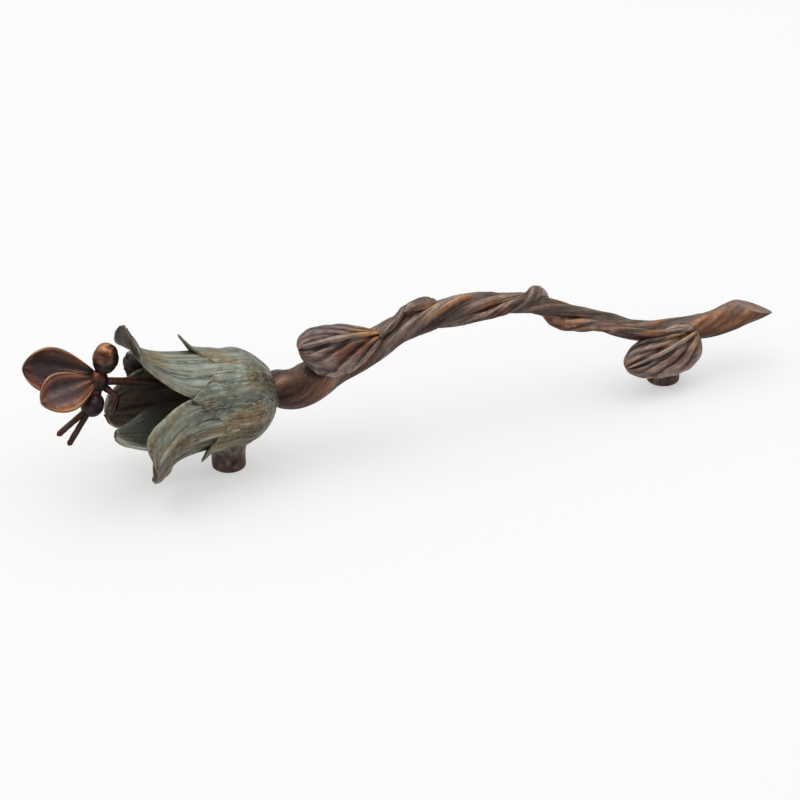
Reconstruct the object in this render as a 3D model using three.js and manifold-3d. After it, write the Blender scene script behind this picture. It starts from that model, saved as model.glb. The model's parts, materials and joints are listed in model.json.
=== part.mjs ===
// A cast bronze cabinet handle: a twig with a climbing vine and two leaves, a five-petalled
// flower at one end with an insect at its mouth, and two round posts that meet the drawer front.
// Millimetres, +Z away from the drawer front, the flower towards -X.

import * as THREE from 'three';
import { ParametricGeometry } from 'three/addons/geometries/ParametricGeometry.js';
import { mergeVertices } from 'three/addons/utils/BufferGeometryUtils.js';
import Module from 'manifold-3d';

// Posts
const postSpacing = 128;
const postRadius = 4.6;
const postEdgeRound = 0.6;
const postFlare = 0.6;
const postFlareHeight = 3;
const postShoulderHeight = 1.2;
const boreRadius = 1.65;
const boreDepth = 7.5;
const boreTipSlope = 0.58;
const postSinkIntoBulb = 1.7;
const twigPostShoulder = 2.4;

// Twig: place in halves of the post spacing from the middle, height of the centre, and radius
const twigShape = [
  [-0.83, 21.0, 3.8], [-0.775, 20.9, 5.0], [-0.703, 20.0, 5.5], [-0.625, 21.0, 5.5],
  [-0.516, 24.0, 4.9], [-0.39, 27.3, 4.4], [-0.25, 31.1, 3.8], [-0.094, 34.0, 3.5],
  [0.063, 35.2, 3.0], [0.219, 34.3, 2.8], [0.39, 31.3, 2.6], [0.563, 26.4, 2.5],
  [0.734, 20.9, 2.6], [0.89, 17.1, 2.8], [1.031, 15.2, 3.0], [1.172, 14.8, 3.5],
  [1.344, 16.0, 3.8], [1.453, 17.1, 3.1], [1.531, 18.2, 2.3],
];
const twigRidges = 3;
const twigRidgeHeight = 0.32;
const twigTwistPitch = 62;
const twigOverhang = 30.7;
const twigTipHeight = 15.9;
const twigCutAngle = THREE.MathUtils.degToRad(24);

// Vine: place in halves of the post spacing, turn round the twig in degrees from the top towards
// the front, and radius
const vineShape = [
  [-0.32, 44, 1.0], [-0.285, 34, 1.1], [-0.236, 16, 1.1], [-0.196, -12, 1.2], [-0.16, -60, 1.4],
  [-0.094, -135, 1.6], [-0.016, -180, 1.6], [0.051, -203, 1.6], [0.142, -222, 1.6],
  [0.195, -250, 1.6], [0.25, -277, 1.6], [0.325, -319, 1.7], [0.378, -374, 2.0],
  [0.43, -430, 1.9], [0.487, -510, 2.0], [0.535, -565, 2.1], [0.594, -598, 1.9],
  [0.656, -620, 1.5], [0.75, -634, 1.3], [0.89, -640, 1.2], [1.031, -646, 1.1], [1.11, -652, 1.0],
];
const vineStandOff = 0.3;
const knotPlace = -0.148;
const knotTurn = -14;
const knotRadii = [4.0, 2.2, 2.3];
const knotLean = -22;

// Blades, which are leaves, petals and wings: how fast they thicken from each end
const bladeEndSlope = 6;

// Leaves: each grows from the twig's surface at a place and turn, along a heading, face outward.
// The outline of each half, far then near, widens and closes by two powers
const leafThickness = 1.5;
const leafFirst = {
  place: -0.306, turn: 38, sink: 0.2, length: 23.2, heading: [-23.4, 2.4, -1.2], face: [0, -0.37, 0.93],
  halfWidths: [8.6, 9.2], outlines: [[1.75, 0.45], [1.4, 0.45]], fold: 0.3, roll: 0.12, bow: 2.2, bend: 0.6,
};
const leafSecond = {
  place: 1.134, turn: 78, sink: 0.2, length: 24.9, heading: [-23.9, -5.0, -4.8], face: [0.05, -0.8, 0.6],
  halfWidths: [6.4, 7.9], outlines: [[0.9, 0.42], [0.52, 0.48]], fold: 0.14, roll: 0.24, bow: 0.8, bend: 0.8,
};
const leafVeins = 4;
const leafVeinSlant = 1.8;
const leafVeinHeight = 0.4;
const leafMidribHeight = 0.7;
const leafMidribWidth = 0.16;

// Flower: its own axis starts where the twig enters and points at the insect
const flowerInset = 12.5;
const flowerHeight = 20.2;
const flowerTilt = THREE.MathUtils.degToRad(3.5);
const neckRadius = 4.8;
const neckLip = 0.8;
const bulbRadius = 13.1;
const bulbShoulder = 10.6;
const bulbFullness = 0.72;
const bulbRings = [0, 0.15, 0.34, 0.57, 0.84];
const calyxFloor = 8.5;
const calyxFloorRound = 2;
const calyxWall = 2.3;
const calyxNotch = 17.2;
const sepalStep = 0.7;
const sepalThickness = 1.2;
const sepalPoint = 1.35;
// Each sepal: how far its tip reaches along the axis, and how far it stands out there
const sepals = [[25, 5], [26.5, 1.8], [23.4, 3.2], [25, 3], [25.5, 3]];
const firstSepalTurn = THREE.MathUtils.degToRad(-14);
const petalGrip = 5.7;
const petalSink = 0.7;
const petalThickness = 1.5;
const petalStraight = 14;
const petalRipple = 0.35;
const petalRippleTurns = 5;
const petalRippleShift = 3;
const petalTipGather = 2;
// Outlines of petals: place along the blade from root to tip, and share of its full width
const petalPointed = [
  [0, 0.7], [0.3, 1], [0.5, 0.84], [0.6, 0.72], [0.7, 0.62], [0.8, 0.62], [0.9, 0.7], [0.96, 0.64],
  [0.99, 0.4], [1, 0],
];
const petalFlared = [[0, 0.7], [0.3, 1], [0.75, 1], [0.86, 1], [0.95, 0.9], [0.985, 0.6], [1, 0]];
const petalBroad = [[0, 0.7], [0.3, 1], [0.75, 1], [0.86, 0.9], [0.95, 0.6], [0.99, 0.3], [1, 0]];
const petalRagged = [[0, 0.7], [0.3, 1], [0.6, 0.9], [0.74, 0.68], [0.86, 0.5], [0.95, 0.36], [1, 0]];
// Each petal: turns of its root and tip round the axis and the spread of its two halves, in
// degrees; how far it rises over its root; then along and away from the axis, where its middle
// and its sides are led and where they end
const petals = [
  {
    turn: 10, tipTurn: 0, spread: [50, 54], rise: 1.6, outline: petalPointed,
    lead: [40, 12.6], tip: [41.4, 24.2], sides: [[44, 21], [37, 24.5]],
  },
  {
    turn: 104, tipTurn: 130, spread: [56, 36], rise: 1, outline: petalFlared,
    lead: [32, 12.8], tip: [35.5, 20], sides: [[43.6, 19], [31, 17.8]],
  },
  {
    turn: 196, tipTurn: 201, spread: [44, 44], rise: 1, outline: petalRagged,
    lead: [36, 11.5], tip: [42, 10.6], sides: [[36, 10.8], [38, 11.5]],
  },
  {
    turn: 240, tipTurn: 240, spread: [42, 62], rise: 1, outline: petalRagged,
    lead: [38, 12.5], tip: [42.6, 12.6], sides: [[41, 12.5], [41, 12.5]],
  },
  {
    turn: 304, tipTurn: 304, spread: [54, 54], rise: 1, outline: petalBroad,
    lead: [34, 13], tip: [36.5, 15.5], sides: [[35, 14], [35, 14]],
  },
];

// Insect at the mouth of the flower, held by the flower's style. The thorax is placed along the
// flower's axis, above it and behind it, and the other parts from the middle of the thorax
const thoraxAlong = 48.1;
const thoraxAbove = 9.5;
const thoraxBehind = 1.2;
const styleRadius = 1.05;
const styleBow = [34, 7.6];
const thorax = { place: [0, 0, 0], radii: [2.7, 2.7, 3.1], lean: 20 };
const abdomen = { place: [2.3, 0, 6.3], radii: [3.5, 3.4, 4.3], lean: 14 };
const head = { place: [-2.3, -1.8, -5.8], radii: [3.0, 3.0, 3.4], lean: 35 };
const waistRadius = 1.9;
const feelerEnds = [[-12.3, -1.7, -13.1], [-9.4, -1.7, -16.7]];
const feelerRadius = 0.8;
const wingThickness = 1.2;
const wingCup = 0.04;
const wingRoot = 0.15;
const wings = [
  {
    base: [-0.7, -0.8, 0.8], length: 16.7, heading: [-16.2, -3.8, -1.6], face: [0.06, -0.59, 0.8],
    halfWidth: 5.5,
  },
  {
    base: [-0.3, 1.2, 1.2], length: 19.5, heading: [-18.8, 3.2, 4.2], face: [-0.01, -0.84, 0.55],
    halfWidth: 5.8,
  },
];
const legRadius = 0.75;
const legs = [
  [[0.7, 1, -1.4], [4.3, 5, -6.2], [7.7, 9.2, -13.4]],
  [[0.9, -1, -1.6], [3.9, -2.8, -4.2], [2.3, -3.8, -8.8]],
];

// Facets
const twigSides = 15;
const twigSteps = 58;
const vineSides = 7;
const vineSteps = 76;
const leafAcross = 24;
const leafAlong = 14;
const calyxAround = 50;
const petalAcross = 16;
const petalAlong = 11;
const wingAcross = 12;
const wingAlong = 8;
const bodyAround = 12;
const bodyAlong = 8;
const limbSides = 8;
const limbSteps = 8;
const postSides = 28;

const bronzeColour = 0x4a3226;

const wasm = await Module();
wasm.setup();

const up = new THREE.Vector3(0, 0, 1);
const front = new THREE.Vector3(0, -1, 0);

function vector([x, y, z]) {
  return new THREE.Vector3(x, y, z);
}

// Turns a closed geometry into a solid for joining and cutting
function toSolid(geometry) {
  const bare = geometry.clone();
  bare.deleteAttribute('normal');
  bare.deleteAttribute('uv');
  const merged = mergeVertices(bare, 1e-4);
  const index = merged.index.array;
  const triangles = [];
  for (let i = 0; i < index.length; i += 3) {
    const [a, b, c] = [index[i], index[i + 1], index[i + 2]];
    if (a !== b && b !== c && c !== a) triangles.push(a, b, c);
  }
  const mesh = new wasm.Mesh({
    numProp: 3,
    vertProperties: Float32Array.from(merged.attributes.position.array),
    triVerts: Uint32Array.from(triangles),
  });
  const solid = new wasm.Manifold(mesh);
  return solid.volume() < 0 ? toSolid(flipped(geometry)) : solid;
}

function flipped(geometry) {
  const turned = geometry.clone();
  const index = turned.index.array;
  for (let i = 0; i < index.length; i += 3) [index[i], index[i + 1]] = [index[i + 1], index[i]];
  return turned;
}

function toGeometry(solid) {
  const mesh = solid.getMesh();
  const geometry = new THREE.BufferGeometry();
  geometry.setAttribute('position', new THREE.BufferAttribute(mesh.vertProperties, 3));
  geometry.setIndex(new THREE.BufferAttribute(mesh.triVerts, 1));
  geometry.computeVertexNormals();
  return geometry;
}

// Values given at a few places, read smoothly in between
function smoothly(rows, column) {
  return (place) => {
    let i = 1;
    while (i < rows.length - 1 && rows[i][0] < place) i += 1;
    const low = rows[i - 1];
    const high = rows[i];
    const before = rows[Math.max(i - 2, 0)];
    const after = rows[Math.min(i + 1, rows.length - 1)];
    const span = high[0] - low[0];
    const t = THREE.MathUtils.clamp((place - low[0]) / span, 0, 1);
    const slopeLow = (high[column] - before[column]) / (high[0] - before[0]) * span;
    const slopeHigh = (after[column] - low[column]) / (after[0] - low[0]) * span;
    const rise = high[column] - low[column];
    return low[column] + t * (slopeLow + t * (3 * rise - 2 * slopeLow - slopeHigh
      + t * (slopeLow + slopeHigh - 2 * rise)));
  };
}

// A closed rod with flat ends: placeAt gives the centre and the two section directions
function rod(placeAt, radiusAt, sides, steps) {
  const rows = steps + 2;
  const surface = (u, v, target) => {
    const row = Math.round(v * rows);
    const t = THREE.MathUtils.clamp((row - 1) / steps, 0, 1);
    const { point, across, above } = placeAt(t);
    const angle = 2 * Math.PI * u;
    const radius = row === 0 || row === rows ? 0 : radiusAt(t, angle);
    target.copy(point)
      .addScaledVector(above, radius * Math.cos(angle))
      .addScaledVector(across, radius * Math.sin(angle));
  };
  return toSolid(new ParametricGeometry(surface, sides, rows));
}

function rodAlong(points, radius, sides, steps) {
  const curve = new THREE.CatmullRomCurve3(points);
  const placeAt = (t) => {
    const along = curve.getTangent(t);
    const across = new THREE.Vector3().crossVectors(along, up).normalize();
    const above = new THREE.Vector3().crossVectors(across, along);
    return { point: curve.getPoint(t), across, above };
  };
  return rod(placeAt, radius, sides, steps);
}

// A closed blade of even thickness whose rim is rounded: middle(across, along) is its mid surface
function blade(middle, thickness, slices, stacks) {
  const step = 1e-3;
  const surface = (u, v, target) => {
    const across = Math.cos(2 * Math.PI * u);
    const side = Math.sign(Math.sin(2 * Math.PI * u));
    const point = middle(across, v);
    const sideways = middle(across + step, v).sub(middle(across - step, v));
    const onward = middle(across, Math.min(v + step, 1)).sub(middle(across, Math.max(v - step, 0)));
    const normal = new THREE.Vector3().crossVectors(sideways, onward).normalize();
    const rim = Math.sqrt(Math.max(0, 1 - across ** 4));
    const end = Math.sqrt(Math.min(1, bladeEndSlope * Math.min(v, 1 - v)));
    target.copy(point).addScaledVector(normal, side * rim * end * thickness / 2);
  };
  return toSolid(new ParametricGeometry(surface, slices, stacks));
}

function ellipsoid({ place, radii, lean }) {
  const geometry = new THREE.SphereGeometry(1, bodyAround, bodyAlong);
  geometry.scale(...radii);
  geometry.rotateY(THREE.MathUtils.degToRad(lean));
  geometry.translate(place.x, place.y, place.z);
  return toSolid(geometry);
}

// Twig

function spanned(rows) {
  return rows.map(([share, ...values]) => [share * postSpacing / 2, ...values]);
}

const twigLine = spanned(twigShape);
const twigHeight = smoothly(twigLine, 1);
const twigRadius = smoothly(twigLine, 2);
const twigStart = twigLine[0][0];
const twigEnd = twigLine[twigLine.length - 1][0];

// The twig's centre, and its section's directions, at a place along X
function twigPlace(x) {
  const reach = 0.2;
  const rise = twigHeight(x + reach) - twigHeight(x - reach);
  const along = new THREE.Vector3(2 * reach, 0, rise).normalize();
  const above = new THREE.Vector3().crossVectors(along, front).negate();
  if (above.z < 0) above.negate();
  return { point: new THREE.Vector3(x, 0, twigHeight(x)), across: front, above };
}

function twigSurfaceRadius(x, angle) {
  const twist = 2 * Math.PI * x / twigTwistPitch;
  return twigRadius(x) + twigRidgeHeight * Math.cos(twigRidges * angle + twist * twigRidges);
}

function makeTwig() {
  const placeOn = (t) => THREE.MathUtils.lerp(twigStart, twigEnd, t);
  const solid = rod((t) => twigPlace(placeOn(t)), (t, angle) => twigSurfaceRadius(placeOn(t), angle),
    twigSides, twigSteps);
  const size = 2 * twigOverhang;
  const knife = new THREE.BoxGeometry(size, size, size);
  knife.translate(0, 0, size / 2);
  knife.rotateY(twigCutAngle);
  knife.translate(postSpacing / 2 + twigOverhang, 0, twigTipHeight);
  return solid.subtract(toSolid(knife));
}

// Vine

const vineLine = spanned(vineShape);
const vineTurn = smoothly(vineLine, 1);
const vineRadius = smoothly(vineLine, 2);
const vineStart = vineLine[0][0];
const vineEnd = vineLine[vineLine.length - 1][0];

function onTwig(x, turn, height) {
  const { point, across, above } = twigPlace(x);
  const outward = above.clone().multiplyScalar(Math.cos(turn)).addScaledVector(across, Math.sin(turn));
  return { point: point.clone().addScaledVector(outward, height), outward };
}

function vineRadiusAt(t) {
  return vineRadius(THREE.MathUtils.lerp(vineStart, vineEnd, t));
}

function vinePoint(t) {
  const x = THREE.MathUtils.lerp(vineStart, vineEnd, t);
  const turn = THREE.MathUtils.degToRad(vineTurn(x));
  return onTwig(x, turn, twigRadius(x) + vineStandOff * vineRadius(x));
}

function makeVine() {
  const placeAt = (t) => {
    const step = 1e-3;
    const { point, outward } = vinePoint(t);
    const along = vinePoint(Math.min(t + step, 1)).point.sub(vinePoint(Math.max(t - step, 0)).point);
    const across = new THREE.Vector3().crossVectors(along, outward).normalize();
    const above = new THREE.Vector3().crossVectors(across, along).normalize();
    return { point, across, above };
  };
  return rod(placeAt, vineRadiusAt, vineSides, vineSteps);
}

function makeKnot() {
  const x = knotPlace * postSpacing / 2;
  const { point } = onTwig(x, THREE.MathUtils.degToRad(knotTurn), twigRadius(x));
  return ellipsoid({ place: point, radii: knotRadii, lean: knotLean });
}

// Leaves and wings are blades that grow from a base, with the face turned to a given side

function bladeFrame({ heading, face }) {
  const along = vector(heading).normalize();
  const across = new THREE.Vector3().crossVectors(vector(face), along).normalize();
  const out = new THREE.Vector3().crossVectors(along, across);
  return { along, across, out };
}

function leafOutline([widening, closing], t) {
  return Math.sin(Math.PI * t ** widening) ** closing;
}

// The side veins leave the midrib at a slant, and each stands a little proud
function veinRelief(across, t) {
  const ridge = Math.cos(2 * Math.PI * (t * leafVeins - leafVeinSlant * Math.abs(across)));
  const fade = Math.min(1, 3 * Math.abs(across)) * (1 - across ** 2);
  const midrib = Math.exp(-((across / leafMidribWidth) ** 2));
  return leafVeinHeight * ridge * fade + leafMidribHeight * midrib;
}

function leafMiddle(spec) {
  const { along, across, out } = bladeFrame(spec);
  const x = spec.place * postSpacing / 2;
  const base = onTwig(x, THREE.MathUtils.degToRad(spec.turn), twigRadius(x) - spec.sink).point;
  return (u, t) => {
    const half = u < 0 ? 0 : 1;
    const halfWidth = spec.halfWidths[half];
    const width = halfWidth * leafOutline(spec.outlines[half], t) * u;
    const hump = Math.sin(Math.PI * t);
    const fall = spec.fold * Math.abs(width) + spec.roll * width ** 2 / halfWidth;
    return base.clone()
      .addScaledVector(along, spec.length * t)
      .addScaledVector(across, width + spec.bend * hump)
      .addScaledVector(out, spec.bow * hump - fall + veinRelief(u, t) * Math.sqrt(Math.max(0, hump)));
  };
}

function makeLeaf(spec) {
  return blade(leafMiddle(spec), leafThickness, leafAcross, leafAlong);
}

function wingOutline(t) {
  return wingRoot * (1 - t) + Math.max(0, Math.sin(Math.PI * t ** 1.5)) ** 0.6;
}

function makeWing(spec) {
  const { along, across, out } = bladeFrame(spec);
  const base = onInsect(spec.base);
  const middle = (u, v) => {
    const t = Math.sin(Math.PI / 2 * v);
    const width = spec.halfWidth * wingOutline(t) * u;
    return base.clone()
      .addScaledVector(along, spec.length * t)
      .addScaledVector(across, width)
      .addScaledVector(out, wingCup * width ** 2);
  };
  return blade(middle, wingThickness, wingAcross, wingAlong);
}

// Flower

const flowerBase = new THREE.Vector3(flowerInset - postSpacing / 2, 0, flowerHeight);
const flowerAlong = new THREE.Vector3(-Math.cos(flowerTilt), 0, Math.sin(flowerTilt));
const flowerAbove = new THREE.Vector3(Math.sin(flowerTilt), 0, Math.cos(flowerTilt));

// A point in the flower: along its axis, away from it, and turned from the top to the front
function inFlower(along, away, turn) {
  return flowerBase.clone()
    .addScaledVector(flowerAlong, along)
    .addScaledVector(flowerAbove, away * Math.cos(turn))
    .addScaledVector(front, away * Math.sin(turn));
}

function bulbProfile(along) {
  const rise = Math.sin(Math.PI / 2 * THREE.MathUtils.clamp(along / bulbShoulder, 0, 1));
  return neckRadius + (bulbRadius - neckRadius) * rise ** bulbFullness;
}

// The sepal at a turn round the axis, and how near the turn is to its tip: 0 at a notch, 1 at the tip
function sepalAt(turn) {
  const phase = sepals.length * (turn - firstSepalTurn) / (2 * Math.PI);
  const nearest = Math.round(phase);
  const [reach, flare] = sepals[(nearest + sepals.length) % sepals.length];
  return { reach, flare, lobe: (1 - 2 * Math.abs(phase - nearest)) ** sepalPoint };
}

// The calyx in one skin, from the axis at its back, over the rim and down to the floor inside
function calyxSection(turn) {
  const { reach, flare, lobe } = sepalAt(turn);
  const rim = THREE.MathUtils.lerp(calyxNotch, reach, lobe);
  const collar = bulbRadius + sepalStep;
  const rimAway = collar + flare * lobe ** 2;
  const skin = bulbRadius - calyxWall;
  const back = bulbRings.map((share) => [share * bulbShoulder, bulbProfile(share * bulbShoulder)]);
  return [
    [-1, 0], [-1, neckRadius - neckLip], ...back,
    [(bulbShoulder + calyxNotch) / 2, bulbRadius], [calyxNotch - 0.5, collar],
    [THREE.MathUtils.lerp(calyxNotch, rim, 0.6), THREE.MathUtils.lerp(collar, rimAway, 0.3)],
    [rim, rimAway], [rim - 0.2, rimAway - sepalThickness],
    [THREE.MathUtils.lerp(calyxNotch, rim, 0.5), collar - sepalThickness],
    [calyxNotch - calyxFloorRound, skin], [calyxFloor + calyxFloorRound, skin - 1],
    [calyxFloor, skin - 2 * calyxFloorRound], [calyxFloor, 0],
  ];
}

function makeCalyx() {
  const rows = calyxSection(0).length - 1;
  const surface = (u, v, target) => {
    const turn = 2 * Math.PI * u;
    const [along, away] = calyxSection(turn)[Math.round(v * rows)];
    target.copy(inFlower(along, away, turn));
  };
  return toSolid(new ParametricGeometry(surface, calyxAround, rows));
}

const petalRootAlong = calyxNotch - petalGrip;
const petalRootAway = bulbRadius - petalSink;

// The middle and the sides of a petal each follow a curve in the plane of the flower's axis
function petalCurve(rise, lead, end) {
  return new THREE.CubicBezierCurve(
    new THREE.Vector2(petalRootAlong, petalRootAway),
    new THREE.Vector2(petalRootAlong + petalStraight, petalRootAway + rise),
    new THREE.Vector2(...lead),
    new THREE.Vector2(...end),
  );
}

function makePetal({ turn, tipTurn, spread, rise, outline, lead, tip, sides }) {
  const middleCurve = petalCurve(rise, lead, tip);
  const sideCurves = sides.map((side) => petalCurve(rise, lead, side));
  const widthAt = smoothly(outline, 1);
  const middle = (u, v) => {
    const t = 1 - Math.max(0, 1 - v) ** petalTipGather;
    const half = u < 0 ? 0 : 1;
    const width = Math.max(0, widthAt(t));
    const share = width * u;
    const { x: along, y: away } = middleCurve.getPoint(t).lerp(sideCurves[half].getPoint(t), share ** 2);
    const narrowed = petalRootAway / Math.max(away, petalRootAway);
    const ripple = petalRipple * width * t * Math.cos(petalRippleTurns * u + petalRippleShift * t);
    const swing = THREE.MathUtils.lerp(turn, tipTurn, t * t) + spread[half] * share * narrowed;
    return inFlower(along, away + ripple, THREE.MathUtils.degToRad(swing));
  };
  return blade(middle, petalThickness, petalAcross, petalAlong);
}

// Insect

const thoraxMiddle = inFlower(thoraxAlong, thoraxAbove, 0).addScaledVector(front, -thoraxBehind);

function onInsect(offset) {
  return vector(offset).add(thoraxMiddle);
}

function makeBody({ place, radii, lean }) {
  return ellipsoid({ place: onInsect(place), radii, lean });
}

function makeLimb(points, radius) {
  return rodAlong(points.map(onInsect), () => radius, limbSides, limbSteps);
}

function makeInsect() {
  return [
    ...[abdomen, thorax, head].map(makeBody),
    makeLimb([abdomen.place, thorax.place, head.place], waistRadius),
    ...feelerEnds.map((end) => makeLimb([head.place, end], feelerRadius)),
    ...legs.map((leg) => makeLimb(leg, legRadius)),
    ...wings.map(makeWing),
  ];
}

// The style rises from the floor of the calyx and carries the insect
function makeStyle() {
  const start = inFlower(calyxFloor - 1, 0, 0);
  const bow = inFlower(...styleBow, 0);
  return rodAlong([start, bow, thoraxMiddle], () => styleRadius, limbSides, limbSteps);
}

// Posts

function lathed(points, x) {
  const profile = points.map(([away, height]) => new THREE.Vector2(away, height));
  const geometry = new THREE.LatheGeometry(profile, postSides);
  geometry.rotateX(Math.PI / 2);
  geometry.translate(x, 0, 0);
  return toSolid(geometry);
}

function bulbUnderside(x) {
  const along = (flowerBase.x - x) / Math.cos(flowerTilt);
  return inFlower(along, bulbRadius, Math.PI).z;
}

function makeFlowerPost() {
  const under = bulbUnderside(-postSpacing / 2);
  const flare = postRadius + postFlare;
  return lathed([
    [0, 0], [postRadius - postEdgeRound, 0], [postRadius, postEdgeRound],
    [postRadius, under - postFlareHeight], [flare, under], [flare, under + postSinkIntoBulb],
    [0, under + postSinkIntoBulb],
  ], -postSpacing / 2);
}

function makeTwigPost() {
  const x = postSpacing / 2;
  const middle = twigHeight(x);
  const shoulder = middle - twigRadius(x) - twigPostShoulder;
  return lathed([
    [0, 0], [postRadius - postEdgeRound, 0], [postRadius, postEdgeRound], [postRadius, shoulder],
    [twigRadius(x), shoulder + postShoulderHeight], [twigRadius(x) - twigRidgeHeight, middle], [0, middle],
  ], x);
}

function makeBore(x) {
  const drillPoint = boreRadius * boreTipSlope;
  const mouth = -postEdgeRound;
  return lathed([[0, mouth], [boreRadius, mouth], [boreRadius, boreDepth - drillPoint], [0, boreDepth]], x);
}

// The casting

function makeCasting() {
  const parts = [
    makeTwig(), makeVine(), makeKnot(), makeLeaf(leafFirst), makeLeaf(leafSecond),
    makeCalyx(), ...petals.map(makePetal), makeStyle(), ...makeInsect(),
    makeFlowerPost(), makeTwigPost(),
  ];
  let casting = parts.reduce((whole, part) => whole.add(part));
  for (const x of [-postSpacing / 2, postSpacing / 2]) casting = casting.subtract(makeBore(x));
  return casting;
}

const bronze = new THREE.MeshStandardMaterial({ color: bronzeColour, metalness: 0.85, roughness: 0.5 });
const casting = new THREE.Mesh(toGeometry(makeCasting()), bronze);
casting.name = 'handle_casting';

// The origin lies on the drawer front, under the middle of the handle's outline
casting.geometry.computeBoundingBox();
const outlineCentre = casting.geometry.boundingBox.getCenter(new THREE.Vector3());
casting.position.set(-outlineCentre.x, -outlineCentre.y, 0);

const handle = new THREE.Group();
handle.add(casting);

export default handle;
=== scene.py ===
import json
import math

import bmesh
import bpy
import numpy as np
from mathutils import Matrix, Vector


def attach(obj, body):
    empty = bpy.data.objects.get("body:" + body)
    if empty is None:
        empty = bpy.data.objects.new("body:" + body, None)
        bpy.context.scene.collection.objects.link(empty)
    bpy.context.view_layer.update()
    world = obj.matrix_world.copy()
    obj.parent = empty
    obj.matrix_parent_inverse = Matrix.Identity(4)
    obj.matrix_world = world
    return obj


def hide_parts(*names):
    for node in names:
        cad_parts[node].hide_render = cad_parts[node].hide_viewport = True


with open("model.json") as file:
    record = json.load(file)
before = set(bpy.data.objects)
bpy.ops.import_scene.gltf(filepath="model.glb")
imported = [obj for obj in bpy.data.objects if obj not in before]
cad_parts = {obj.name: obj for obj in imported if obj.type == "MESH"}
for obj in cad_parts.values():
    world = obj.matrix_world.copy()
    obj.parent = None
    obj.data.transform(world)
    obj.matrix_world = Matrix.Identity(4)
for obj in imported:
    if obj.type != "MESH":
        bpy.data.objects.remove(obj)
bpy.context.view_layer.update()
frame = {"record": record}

# A cast bronze cabinet handle: a twig with a vine and two leaves, and a flower with an insect.
# Shapes are worked out in millimetres from the middle of the two posts, and moved to the frame.

MM = 0.001
POST_SPACING = 128.0
# A mount's place is on the flat ring round a post's bore, this far behind the post's axis.
POST_FACE_RING = 2.8
MOUNTS = {mount["name"]: mount["pos_m"] for mount in frame["record"]["mounts"]}
SHIFT = np.array(MOUNTS["twig_post_face"]) / MM - (POST_SPACING / 2, POST_FACE_RING, 0)
CASTING = "handle_casting"

UP = np.array((0.0, 0.0, 1.0))
FRONT = np.array((0.0, -1.0, 0.0))


# Helpers


def smoothly(rows, column):
    """Values given at a few places, read smoothly in between."""
    places = np.array([row[0] for row in rows], float)
    values = np.array([row[column] for row in rows], float)

    def read(place):
        place = np.asarray(place, float)
        high = np.clip(np.searchsorted(places, place), 1, len(places) - 1)
        low = high - 1
        before = np.maximum(low - 1, 0)
        after = np.minimum(high + 1, len(places) - 1)
        span = places[high] - places[low]
        t = np.clip((place - places[low]) / span, 0, 1)
        slope_low = (values[high] - values[before]) / (places[high] - places[before]) * span
        slope_high = (values[after] - values[low]) / (places[after] - places[low]) * span
        rise = values[high] - values[low]
        return values[low] + t * (slope_low + t * (3 * rise - 2 * slope_low - slope_high
                                                   + t * (slope_low + slope_high - 2 * rise)))

    return read


def lattice(cells, seed):
    """A number from -1 to 1 for each cell of a grid, always the same for the same cell."""
    mixed = (cells[..., 0] * 374761393 + cells[..., 1] * 668265263
             + cells[..., 2] * 2147483647 + seed * 1274126177)
    mixed = (mixed ^ (mixed >> 13)) * 1103515245
    return ((mixed ^ (mixed >> 16)) & 0xFFFF) / 32767.5 - 1


def noise(points, seed=0):
    """Smooth noise from -1 to 1, with features about one unit across."""
    points = np.asarray(points, float)
    cell = np.floor(points).astype(np.int64)
    part = points - cell
    part = part * part * (3 - 2 * part)
    total = 0
    for corner in np.ndindex(2, 2, 2):
        weight = np.prod(np.where(corner, part, 1 - part), axis=-1)
        total = total + weight * lattice(cell + corner, seed)
    return total


def layered(points, seed=0, layers=3):
    """Noise with finer and fainter noise added to it."""
    total = sum(noise(np.asarray(points) * 2 ** k, seed + k) / 2 ** k for k in range(layers))
    return total / 1.5


def unit(vectors):
    return vectors / np.maximum(np.linalg.norm(vectors, axis=-1, keepdims=True), 1e-12)


def point_at(*parts):
    return np.stack(np.broadcast_arrays(*parts), axis=-1)


def round_place(turn, width, along):
    """A place for noise that meets itself where the turn round a form is complete."""
    return point_at(np.cos(turn) * width, np.sin(turn) * width, along)


def grooves(points, seed, depth=2.0):
    """Narrow grooves along the middles of the noise, with 1 on the ridges between them."""
    return 1 - depth * np.abs(noise(points, seed)) ** 0.7


def spot(u, v, place, reach):
    """1 at a place on a surface, fading out over its reach both ways."""
    return np.exp(-(((u - place[0]) / reach[0]) ** 2) - ((v - place[1]) / reach[1]) ** 2)


FIELDS = ("relief", "rim", "dark", "warm", "pale")
SAME_POINT = 0.004
END_ROWS = 2


def skin(grid, flow, **fields):
    """A grid of points that closes around its second direction, with what the materials read on it.

    Flow is a place in millimetres whose first direction follows the form's own grain. Relief is -1 in
    a groove and 1 on a ridge. Rim is 1 on an edge that is rubbed bright, and on the vine's painted
    highlight.
    Dark, warm and pale are shares of burnt, of browner and of lighter patina, and a pale below 0 is
    darker;
    in places they carry painted shade and painted highlights.
    """
    return dict(grid=grid, flow=flow, **fields)


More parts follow.
